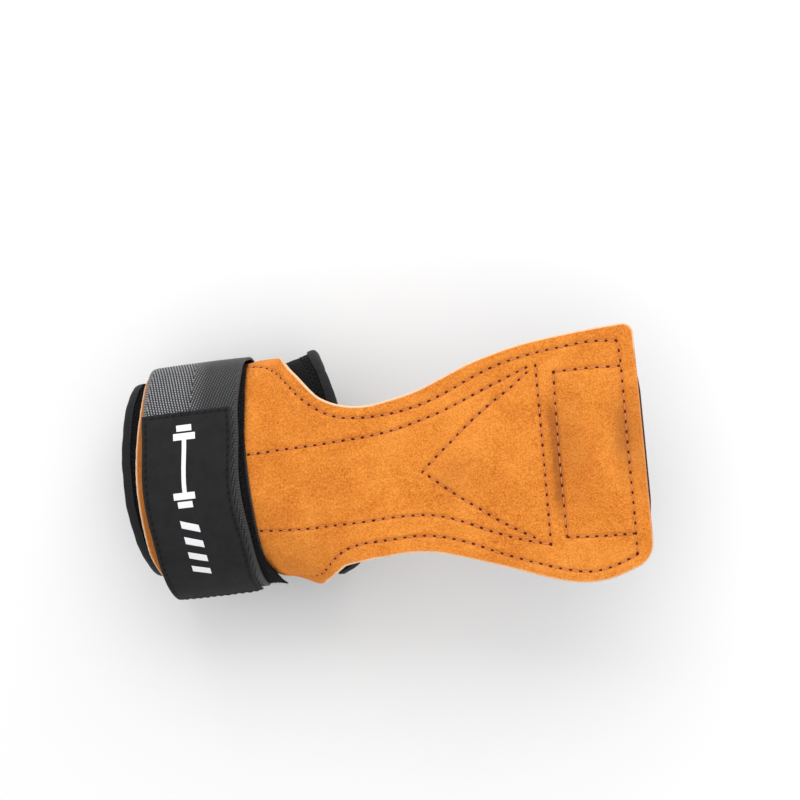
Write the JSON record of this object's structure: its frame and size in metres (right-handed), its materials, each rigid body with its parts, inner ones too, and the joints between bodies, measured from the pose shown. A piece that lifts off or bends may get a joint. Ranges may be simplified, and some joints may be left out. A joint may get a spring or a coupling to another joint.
{
  "type": "weightlifting palm grip",
  "caption": "Padded wrist cuff with a wrap-around hook-and-loop strap and a stitched suede pad that covers the palm and folds round a bar.",
  "frame": {"origin": "centre of the wrist opening, midway under the strap", "axes": "+X along the wrist toward the fingers, +Y toward the thumb, +Z out of the palm"},
  "size_m": [0.2138, 0.1058, 0.0706],
  "materials": {
    "neoprene": "matt knitted face over foam",
    "cuff_lining": "soft brushed lining",
    "binding": "smooth edge binding",
    "suede": "orange-tan suede, cover stitched",
    "suede_lining": "dark suede under-layer",
    "webbing": "herringbone nylon webbing, slight sheen",
    "loop_tape": "fuzzy loop pile",
    "hook_tape": "stiff hook pile",
    "label": "woven label with a plain printed mark"
  },
  "bodies": {
    "palm_base": {"cuff_shell_palm": "neoprene", "cuff_lining_palm": "cuff_lining", "binding_forearm_palm": "binding", "binding_hand_palm": "binding", "leather_wrist": "suede", "strap_base": "webbing", "loop_tape": "loop_tape"},
    "palm_pad": {"leather_palm": "suede", "lining_palm": "suede_lining", "reinforcement_palm": "suede_lining"},
    "pad_end": {"leather_finger": "suede", "lining_finger": "suede_lining", "insert_finger": "suede_lining"},
    "ulnar_wing": {"cuff_shell_ulnar": "neoprene", "cuff_lining_ulnar": "cuff_lining", "binding_forearm_ulnar": "binding", "binding_hand_ulnar": "binding", "binding_end_ulnar": "binding", "strap_back": "webbing"},
    "radial_wing": {"cuff_shell_radial": "neoprene", "cuff_lining_radial": "cuff_lining", "binding_forearm_radial": "binding", "binding_hand_radial": "binding", "binding_end_radial": "binding"},
    "strap_top": {"tab_web_root": "webbing"},
    "tab": {"tab_web_end": "webbing", "hook_tape": "hook_tape", "label_patch": "label"}
  },
  "joints": [
    {"name": "pad_flex", "type": "hinge", "parent": "palm_base", "child": "palm_pad", "pos_m": [0.072, -0.007, 0.035], "axis": [0, -1, 0], "range_deg": [-30, 80]},
    {"name": "pad_curl", "type": "hinge", "parent": "palm_pad", "child": "pad_end", "pos_m": [0.1424, -0.007, 0.035], "axis": [0, -1, 0], "range_deg": [-20, 110]},
    {"name": "tab_peel", "type": "hinge", "parent": "strap_top", "child": "tab", "pos_m": [0, 0.03343, 0.02888], "axis": [-1, 0, 0], "range_deg": [0, 100]},
    {"name": "strap_open", "type": "hinge", "parent": "ulnar_wing", "child": "strap_top", "pos_m": [0, 0.0491, 0], "axis": [-1, 0, 0], "range_deg": [0, 110]},
    {"name": "ulnar_wing_open", "type": "hinge", "parent": "palm_base", "child": "ulnar_wing", "pos_m": [0, -0.046, 0], "axis": [-1, 0, 0], "range_deg": [0, 34]},
    {"name": "radial_wing_open", "type": "hinge", "parent": "palm_base", "child": "radial_wing", "pos_m": [0, 0.0491, 0], "axis": [1, 0, 0], "range_deg": [0, 27]}
  ],
  "couplings": [
    {"joint": "ulnar_wing_open", "follows": "strap_open", "ratio": 0.3},
    {"joint": "radial_wing_open", "follows": "strap_open", "ratio": 0.24}
  ]
}
